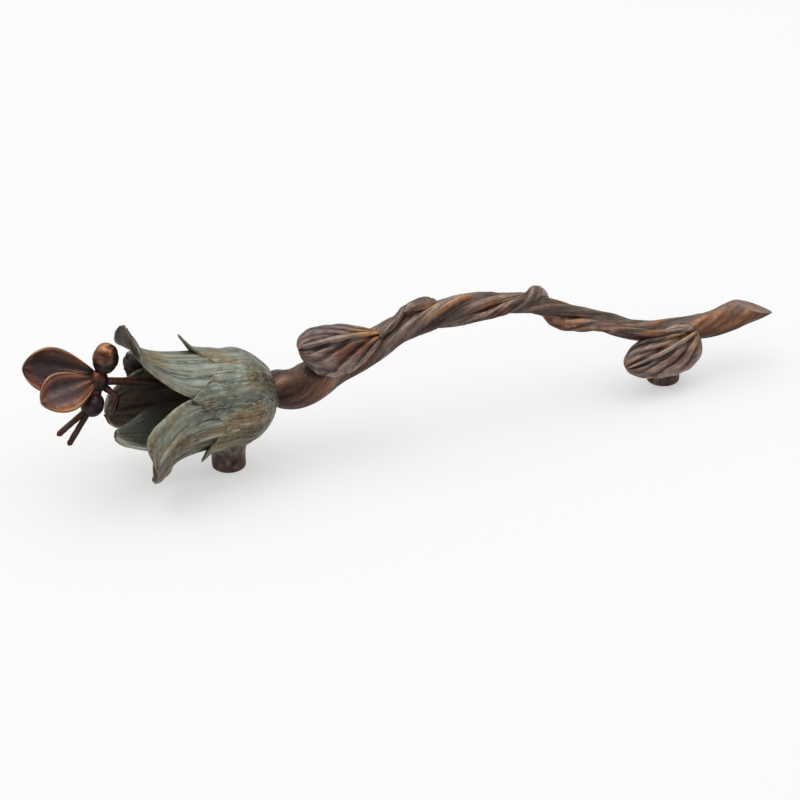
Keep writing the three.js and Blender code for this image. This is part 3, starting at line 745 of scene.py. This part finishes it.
def petal_lines(u, v, seed):
    """Veins that fan out from the petal's root."""
    fan = point_at(u * 11, v * 2.2, 0.0 * u * v)
    fine = point_at(u * 24, v * 5, 0.0 * u * v)
    rib = np.exp(-((u / 0.05) ** 2)) * 0.5
    return np.clip(noise(fan, seed) + 0.6 * noise(fine, seed + 1) + rib, -1, 1)


# Insect

THORAX_ALONG = 48.1
THORAX_ABOVE = 9.5
THORAX_BEHIND = 1.2
STYLE_RADIUS = 1.05
STYLE_BOW = (34, 7.6)
THORAX = dict(place=(0, 0, 0), radii=(2.7, 2.7, 3.1), lean=20, lumps=0.05)
# The abdomen's pale of 0.6 lightens it all over as a painted highlight.
ABDOMEN = dict(place=(2.3, 0, 6.3), radii=(3.5, 3.4, 4.3), lean=14, lumps=0.05, rings=4, pale=0.6)
HEAD = dict(place=(-2.3, -1.8, -5.8), radii=(3.0, 3.0, 3.4), lean=35, lumps=0.05, dark=0.5, pale=-0.2)
WAIST_RADIUS = 1.6
FEELER_ENDS = ((-12.3, -1.7, -13.1), (-9.4, -1.7, -16.7))
FEELER_RADIUS = 0.8
WING_THICKNESS = 1.2
WING_CUP = 0.04
WING_ROOT = 0.15
WING_VEIN_HEIGHT = 0.28
WING_GRID = (70, 90)
WING_DARK = dict(place=(0.0, 0.45), reach=(0.7, 0.35))
WINGS = (
    dict(base=(-0.7, -0.8, 0.8), length=16.7, heading=(-16.2, -3.8, -1.6), face=(0.06, -0.59, 0.8),
         half_width=5.5),
    dict(base=(-0.3, 1.2, 1.2), length=19.5, heading=(-18.8, 3.2, 4.2), face=(-0.01, -0.84, 0.55),
         half_width=5.8),
)
LEG_RADIUS = 0.75
LEGS = (
    ((0.7, 1, -1.4), (4.3, 5, -6.2), (7.7, 9.2, -13.4)),
    ((0.9, -1, -1.6), (3.9, -2.8, -4.2), (2.3, -3.8, -8.8)),
)
THORAX_MIDDLE = in_flower(THORAX_ALONG, THORAX_ABOVE, 0.0) - FRONT * THORAX_BEHIND


def make_insect(material):
    skins = [ball(seed=70 + seed, **dict(part, place=THORAX_MIDDLE + part["place"]))
             for seed, part in enumerate((ABDOMEN, THORAX, HEAD))]
    limbs = [((ABDOMEN["place"], THORAX["place"], HEAD["place"]), WAIST_RADIUS)]
    limbs += [((HEAD["place"], end), FEELER_RADIUS) for end in FEELER_ENDS]
    limbs += [(leg, LEG_RADIUS) for leg in LEGS]
    skins += [rod_along(np.array(points, float) + THORAX_MIDDLE, radius, seed=80 + seed, lumps=0.08)
              for seed, (points, radius) in enumerate(limbs)]
    return add_piece("insect", skins, material)


def make_style(material):
    points = [in_flower(CALYX_FLOOR - 1, 0.0, 0.0), in_flower(*STYLE_BOW, 0.0), THORAX_MIDDLE]
    stalk = rod_along(points, STYLE_RADIUS, sides=24, rows=120, seed=90, lumps=0.07)
    return add_piece("style", [stalk], material)


def make_wing(name, spec, material, seed):
    along, across, out = blade_frame(spec["heading"], spec["face"])
    base = THORAX_MIDDLE + spec["base"]

    def middle(u, v):
        t = np.sin(np.pi / 2 * v)
        outline = WING_ROOT * (1 - t) + np.maximum(0, np.sin(np.pi * t ** 1.5)) ** 0.6
        width = spec["half_width"] * outline * u
        return (base + along * (spec["length"] * t)[..., None] + across * width[..., None]
                + out * (WING_CUP * width ** 2)[..., None])

    def veins(u, v):
        edge = np.maximum(np.abs(u), v)
        raised = np.clip((edge - 0.84) / 0.1, 0, 1)
        fan = 0.35 * np.cos(u * 9) * np.clip(1.4 - 1.4 * v, 0, 1)
        return 1.3 * raised - 0.25 + fan + 0.25 * noise(point_at(u * 4, v * 5, 0.0 * u * v), seed)

    def dark(u, v, under):
        return 0.8 * spot(u, v, **WING_DARK)

    size = (spec["length"], spec["half_width"])
    sheet = blade(middle, size, WING_THICKNESS, WING_GRID, WING_VEIN_HEIGHT, veins, dark=dark)
    return add_piece(name, [sheet], material)


# Posts

POST_RADIUS = 4.6
POST_EDGE_ROUND = 0.6
POST_FLARE = 0.6
POST_FLARE_HEIGHT = 3.0
POST_SHOULDER_HEIGHT = 1.2
POST_SINK_INTO_BULB = 1.7
POST_ROUGHNESS = 0.08
POST_SMOOTH_FOOT = 0.8
# The flower post's rubbed band begins this far below its top, and is full past the fade.
POST_RUBBED_DEPTH = 6.5
POST_RUBBED_FADE = 3.0
TWIG_POST_SHOULDER = 2.4
POST_GRID = (90, 130)
BORE_RADIUS = 1.65
BORE_DEPTH = 7.5
BORE_TIP_SLOPE = 0.58


def lathed(profile, x, seed):
    """A turned and slightly rough solid with its axis at x, from points away from and along it."""
    profile = np.array(profile, float)
    reach = np.concatenate([[0], np.cumsum(np.linalg.norm(np.diff(profile, axis=0), axis=1))])
    fine = np.unique(np.concatenate([reach, np.linspace(0, reach[-1], POST_GRID[1])]))
    away, height = (np.interp(fine, reach, profile[:, axis]) for axis in (0, 1))
    turn = np.linspace(0, 2 * np.pi, POST_GRID[0], endpoint=False)[None]
    rough = noise(round_place(turn, 3.0, height[:, None] / 1.6), seed)
    outside = (away > BORE_RADIUS + 0.5)[:, None] * (height > POST_SMOOTH_FOOT)[:, None]
    size = away[:, None] + POST_ROUGHNESS * rough * outside
    grid = point_at(x + size * np.cos(turn), size * np.sin(turn), height[:, None] * np.ones_like(turn))
    flow = point_at(height[:, None], size * np.cos(turn), size * np.sin(turn))
    return grid, flow, rough


def post_foot():
    """The bore with its drilled end, the flat face round it, and the rounded edge."""
    flat = POST_RADIUS - POST_EDGE_ROUND
    corner = [(flat + POST_EDGE_ROUND * math.sin(a), POST_EDGE_ROUND * (1 - math.cos(a)))
              for a in np.linspace(0, math.pi / 2, 7)]
    tip = BORE_DEPTH - BORE_RADIUS * BORE_TIP_SLOPE
    return [(0.01, BORE_DEPTH), (BORE_RADIUS, tip), (BORE_RADIUS, 0)] + corner


def make_posts(material):
    flower_x, twig_x = -POST_SPACING / 2, POST_SPACING / 2
    along = (FLOWER_BASE[0] - flower_x) / math.cos(FLOWER_TILT)
    under = in_flower(along, BULB_RADIUS, np.pi)[2]
    flare = POST_RADIUS + POST_FLARE
    top = under + POST_SINK_INTO_BULB
    flower_post = post_foot() + [(POST_RADIUS, under - POST_FLARE_HEIGHT), (flare, under),
                                 (flare, top), (0.01, top)]
    middle, radius = float(twig_height(twig_x)), float(twig_radius(twig_x))
    shoulder = middle - radius - TWIG_POST_SHOULDER
    twig_post = post_foot() + [(POST_RADIUS, shoulder), (radius, shoulder + POST_SHOULDER_HEIGHT),
                               (radius - TWIG_RIDGE_HEIGHT, middle), (0.01, middle)]
    for name, profile, x, seed in (("flower_post", flower_post, flower_x, 101),
                                   ("twig_post", twig_post, twig_x, 102)):
        grid, flow, rough = lathed(profile, x, seed)
        above_dark = grid[..., 2] - profile[-1][1] + POST_RUBBED_DEPTH
        rim_share = np.clip(above_dark / POST_RUBBED_FADE, 0, 1) * (name == "flower_post")
        post = skin(grid, flow, relief=0.5 * rough, rim=rim_share, dark=0.5 * (1 - rim_share))
        add_piece(name, [post], material)


# Materials

# The places of a Mix node's sockets for colours, which share their names with its others.
MIX_FIRST_COLOUR = 6
MIX_SECOND_COLOUR = 7
MIX_COLOUR = 2


class Nodes:
    """A small helper that adds linked shader nodes to a material."""

    def __init__(self, name):
        self.material = bpy.data.materials.new(name)
        self.material.use_nodes = True
        self.tree = self.material.node_tree
        self.shader = self.tree.nodes["Principled BSDF"]

    def put(self, socket, value):
        """Links another node's output to a socket, or sets the socket to a plain value."""
        if isinstance(value, bpy.types.NodeSocket):
            self.tree.links.new(value, socket)
        else:
            socket.default_value = value

    def node(self, kind, **values):
        """A new node, with values put into its sockets by name."""
        node = self.tree.nodes.new("ShaderNode" + kind)
        for socket, value in values.items():
            self.put(node.inputs[socket], value)
        return node

    def surface(self, values):
        """Puts values into the surface shader's sockets by name."""
        for socket, value in values.items():
            self.put(self.shader.inputs[socket], value)

    def field(self, name, output="Fac"):
        """One of the fields that add_piece leaves on the mesh."""
        node = self.node("Attribute")
        node.attribute_name = name
        return node.outputs[output]

    def upward(self):
        """The world Z of the surface's normal: 1 on a top side, -1 on an underside."""
        normal = self.node("NewGeometry").outputs["Normal"]
        return self.node("SeparateXYZ", Vector=normal).outputs["Z"]

    def noise(self, size_mm, detail, stretch=(1, 1, 1), roughness=0.55):
        """Noise in the flow, from 0 to 1, drawn out where a stretch is below 1."""
        mapping = self.node("Mapping", Scale=stretch, Vector=self.field("flow", "Vector"))
        node = self.node("TexNoise", Scale=1 / size_mm, Detail=detail, Roughness=roughness,
                         Vector=mapping.outputs["Vector"])
        return node.outputs["Fac"]

    def math(self, kind, first, second=0.0, third=0.0):
        node = self.node("Math")
        node.operation = kind
        for socket, value in zip(node.inputs, (first, second, third)):
            self.put(socket, value)
        return node.outputs[0]

    def add(self, *shares):
        """The sum of (value, weight) pairs; a lone number is added as it is."""
        total = 0.0
        for share in shares:
            if isinstance(share, tuple):
                total = self.math("MULTIPLY_ADD", share[0], share[1], total)
            else:
                total = self.math("ADD", total, share)
        return total

    def span(self, value, low, high, to_low=0.0, to_high=1.0):
        """Goes smoothly from one number to another while the value goes from low to high."""
        node = self.node("MapRange", Value=value)
        node.interpolation_type = "SMOOTHSTEP"
        for socket, number in zip(("From Min", "From Max", "To Min", "To Max"),
                                  (low, high, to_low, to_high)):
            self.put(node.inputs[socket], number)
        return node.outputs["Result"]

    def ramp(self, value, stops, shades):
        """The shade at a value, blended between the shades that belong to the stops."""
        node = self.node("ValToRGB", Fac=value)
        elements = node.color_ramp.elements
        while len(elements) < len(stops):
            elements.new(0.5)
        for element, place, shade in zip(elements, stops, shades):
            element.position = place
            element.color = colour(*shade)
        return node.outputs["Color"]

    def mix(self, share, first, second):
        """The first colour, with a share of the second."""
        node = self.node("Mix", Factor=share)
        node.data_type = "RGBA"
        self.put(node.inputs[MIX_FIRST_COLOUR], first)
        self.put(node.inputs[MIX_SECOND_COLOUR], second)
        return node.outputs[MIX_COLOUR]

    def bump(self, height, strength, distance_mm):
        node = self.node("Bump", Strength=strength, Distance=distance_mm * MM, Height=height)
        self.surface({"Normal": node.outputs["Normal"]})


def colour(red, green, blue):
    """A screen colour, 0 to 255, as the linear colour that shaders use."""
    values = [value / 255 for value in (red, green, blue)]
    return tuple(v / 12.92 if v < 0.04045 else ((v + 0.055) / 1.055) ** 2.4 for v in values) + (1.0,)


# Where along the wear and painted shade, from 0 to 1, the five shades of a tone are reached, and its
# middle.
WEAR_STOPS = (0.05, 0.3, 0.48, 0.66, 0.9)
INSECT_WEAR_STOPS = (0.05, 0.35, 0.55, 0.72, 0.9)
WEAR_MIDDLE = 0.46
STREAK_WEIGHT = 0.35
BROAD_STREAK_WEIGHT = 0.6
SPECKLE_WEIGHT = 0.15
PALE_WEIGHT = 0.3
DEPOSIT_STRENGTH = 0.75

# Each tone is five screen colours, from the bottom of a groove to a rubbed ridge; its dark end also
# serves as painted shade on undersides.
BARK_TONES = dict(
    patina=((20, 14, 14), (56, 45, 41), (90, 77, 71), (132, 114, 103), (188, 163, 142)),
    undertone=((24, 13, 10), (70, 42, 33), (110, 73, 57), (152, 109, 84), (202, 160, 128)),
    burnt=((16, 10, 9), (46, 31, 26), (76, 55, 47), (112, 84, 70), (162, 128, 108)))
LOOKS = {
    "bark_bronze": dict(
        BARK_TONES, rim_colour=(172, 134, 112), grain=(0.14, 1, 1), under_share=0.49,
        mottle_weight=0.35, patch_size=3.5, patch_grain=(0.3, 1, 1)),
    "post_bronze": dict(
        BARK_TONES, rim_colour=(104, 112, 98), grain=(0.4, 1, 1), mottle_weight=0.4,
        painted_shade_weight=0.1),
    "leaf_bronze": dict(
        patina=((18, 14, 15), (64, 52, 50), (102, 86, 81), (140, 120, 112), (186, 164, 150)),
        undertone=((26, 14, 11), (76, 50, 38), (120, 86, 62), (166, 126, 88), (206, 166, 122)),
        burnt=((18, 10, 10), (52, 34, 32), (84, 56, 48), (120, 84, 70), (170, 130, 108)),
        rim_colour=(178, 154, 138), grain=(0.3, 1, 1), under_share=0.56, mottle_weight=0.3,
        relief_weight=0.16, painted_shade_weight=0.06),
    "verdigris_bronze": dict(
        patina=((40, 39, 34), (84, 85, 76), (117, 119, 106), (144, 148, 135), (188, 196, 182)),
        undertone=((42, 33, 26), (86, 73, 56), (118, 101, 77), (144, 126, 98), (186, 168, 138)),
        burnt=((36, 30, 28), (74, 64, 58), (104, 90, 81), (130, 114, 103), (166, 150, 137)),
        rim_colour=(170, 166, 146), grain=(0.12, 1, 1), relief_weight=0.22, painted_shade_weight=0.12,
        patch_size=4.5, patch_grain=(0.4, 1, 1), deposit=(158, 173, 160)),
    "insect_bronze": dict(
        stops=INSECT_WEAR_STOPS,
        patina=((10, 7, 7), (36, 23, 20), (68, 42, 34), (112, 72, 54), (176, 126, 94)),
        undertone=((14, 12, 14), (38, 32, 33), (68, 55, 54), (104, 84, 75), (160, 130, 110)),
        burnt=((12, 10, 12), (36, 29, 32), (62, 51, 53), (92, 76, 75), (144, 118, 108)),
        rim_colour=(154, 110, 78), mottle_weight=0.14, grain_weight=0.4, painted_shade_weight=0.34),
}


def bronze(name, patina, undertone, burnt, rim_colour, stops=WEAR_STOPS, under_share=0.5,
           grain=(1, 1, 1), relief_weight=0.2, mottle_weight=0.5, painted_shade_weight=0.16,
           patch_size=5.5, patch_grain=None, grain_weight=1.0, deposit=None):
    """Patinated bronze: tones in large patches, each dark in grooves and bright where it is rubbed,
    with painted light on top sides and painted shade on undersides.
    """
    n = Nodes(name)
    relief, rim, dark, upward = n.field("relief"), n.field("rim"), n.field("dark"), n.upward()
    patches = n.noise(patch_size, 4, stretch=patch_grain or grain)
    mottle = n.noise(1.7, 5, roughness=0.65)
    broad_streaks = n.noise(2.4, 3, stretch=grain)
    streaks = n.noise(0.9, 3, stretch=grain, roughness=0.6)
    speckle = n.noise(0.4, 3, roughness=0.7)
    noises = ((streaks, STREAK_WEIGHT * grain_weight),
              (broad_streaks, BROAD_STREAK_WEIGHT * grain_weight),
              (mottle, mottle_weight), (speckle, SPECKLE_WEIGHT))
    # Noise lies round one half, and that share is taken off so that the value keeps its middle.
    noise_mean = 0.5 * sum(weight for _, weight in noises)
    # Painted shade: the normal's world Z lightens top sides and darkens undersides, as light from above
    # does; in the tone it also makes undersides a little browner.
    wear_and_painted_shade = n.add((relief, relief_weight), *noises, (upward, painted_shade_weight),
                 (n.field("pale"), PALE_WEIGHT), WEAR_MIDDLE - noise_mean)
    tone = n.span(n.add((patches, 1.0), (mottle, 0.35), (upward, -0.06), (n.field("warm"), 0.35)),
                  under_share + 0.12, under_share + 0.3)
    base = n.mix(tone, n.ramp(wear_and_painted_shade, stops, patina), n.ramp(wear_and_painted_shade, stops, undertone))
    if deposit:
        dashes = n.noise(0.5, 2, stretch=(0.2, 1, 1))
        settled = n.add((relief, -0.06), (dashes, 1.0), (mottle, 0.4), (upward, 0.06), (dark, -0.25))
        settled = n.span(settled, 0.72, 0.94)
        base = n.mix(n.math("MULTIPLY", settled, DEPOSIT_STRENGTH), base, colour(*deposit))
    burn = n.span(n.add((dark, 1.0), (mottle, 0.5), (patches, 0.5)), 0.6, 1.2)
    base = n.mix(burn, base, n.ramp(wear_and_painted_shade, stops, burnt))
    edge = n.math("MULTIPLY", n.span(rim, 0.82, 0.995), n.span(mottle, 0.38, 0.6, 0.1, 0.8))
    base = n.mix(edge, base, colour(*rim_colour))
    metallic = n.span(wear_and_painted_shade, 0.35, 0.8, 0.6, 0.9)
    roughness = n.span(n.add((speckle, 0.5), (wear_and_painted_shade, 0.5)), 0.3, 0.7, 0.52, 0.36)
    n.surface({"Base Color": base, "Metallic": metallic, "Roughness": roughness,
               "Specular IOR Level": 0.3})
    n.bump(n.add((speckle, 0.4), (streaks, 0.8), (mottle, 0.4)), 0.4, 0.3)
    return n.material


# Stage: a pale floor, soft lamps and the camera of the photograph

CAMERA_AZIMUTH = -21.37106
CAMERA_ELEVATION = 30.0
CAMERA_DISTANCE = 1000.0
CAMERA_TARGET = (-18.02525, -8.44705, 15.0)
CAMERA_LENS = 167.7425
FLOOR_HALF = 3.0
FLOOR_SHADE = 0.54
FLOOR_LIFT = 0.455
WORLD_STRENGTH = 0.56
LAMPS = (
    dict(name="top", place=(0.0, 0.1, 1.1), size=1.8, power=7.6),
    dict(name="key", place=(-0.35, 0.05, 0.95), size=0.5, power=0.8),
)


def make_floor():
    """A floor that keeps its shadow, and is lifted to white where it is seen or reflected."""
    mesh = bpy.data.meshes.new("floor")
    corners = [(x * FLOOR_HALF, y * FLOOR_HALF, 0) for x, y in ((-1, -1), (1, -1), (1, 1), (-1, 1))]
    mesh.from_pydata(corners, [], [(0, 1, 2, 3)])
    floor = bpy.data.objects.new("floor", mesh)
    bpy.context.scene.collection.objects.link(floor)
    n = Nodes("floor_white")
    ray = n.node("LightPath").outputs
    reflected = n.math("MAXIMUM", ray["Is Glossy Ray"], ray["Is Transmission Ray"])
    seen = n.math("MAXIMUM", ray["Is Camera Ray"], reflected)
    n.surface({"Base Color": (FLOOR_SHADE, FLOOR_SHADE, FLOOR_SHADE, 1), "Roughness": 0.9,
               "Specular IOR Level": 0.0, "Emission Color": (1, 1, 1, 1),
               "Emission Strength": n.math("MULTIPLY", seen, FLOOR_LIFT)})
    mesh.materials.append(n.material)


def make_world():
    world = bpy.data.worlds.new("studio")
    bpy.context.scene.world = world
    world.use_nodes = True
    background = world.node_tree.nodes["Background"]
    background.inputs["Color"].default_value = (1, 1, 1, 1)
    background.inputs["Strength"].default_value = WORLD_STRENGTH


def add_lamp(name, place, size, power):
    data = bpy.data.lights.new(name, "AREA")
    data.size = size
    data.energy = power
    lamp = bpy.data.objects.new(name, data)
    bpy.context.scene.collection.objects.link(lamp)
    lamp.location = place
    lamp.rotation_euler = (-Vector(place)).to_track_quat("-Z", "Y").to_euler()


def make_camera():
    azimuth, elevation = math.radians(CAMERA_AZIMUTH), math.radians(CAMERA_ELEVATION)
    level = math.cos(elevation)
    back = np.array((math.sin(azimuth) * level, -math.cos(azimuth) * level, math.sin(elevation)))
    place = (np.array(CAMERA_TARGET) + SHIFT + CAMERA_DISTANCE * back) * MM
    right = np.cross(-back, UP)
    right /= np.linalg.norm(right)
    data = bpy.data.cameras.new("camera")
    data.sensor_width = 36.0
    data.lens = CAMERA_LENS
    data.clip_end = 20
    camera = bpy.data.objects.new("camera", data)
    camera.matrix_world = Matrix.Translation(place) @ Matrix(
        np.stack([right, np.cross(right, -back), back], axis=1).tolist()).to_4x4()
    bpy.context.scene.collection.objects.link(camera)
    bpy.context.scene.camera = camera


def main():
    make_camera()
    make_floor()
    make_world()
    for lamp in LAMPS:
        add_lamp(**lamp)
    bpy.context.scene.view_settings.view_transform = "Standard"

    materials = {name: bronze(name, **look) for name, look in LOOKS.items()}
    make_twig(materials["bark_bronze"])
    make_vine(materials["bark_bronze"])
    make_leaf("leaf_first", LEAF_FIRST, materials["leaf_bronze"], 51)
    make_leaf("leaf_second", LEAF_SECOND, materials["leaf_bronze"], 54)
    make_calyx(materials["verdigris_bronze"])
    for index, spec in enumerate(PETALS):
        make_petal(index, spec, materials["verdigris_bronze"])
    make_style(materials["insect_bronze"])
    make_insect(materials["insect_bronze"])
    for name, spec, seed in (("wing_near", WINGS[0], 61), ("wing_far", WINGS[1], 62)):
        make_wing(name, spec, materials["insect_bronze"], seed)
    make_posts(materials["post_bronze"])


main()
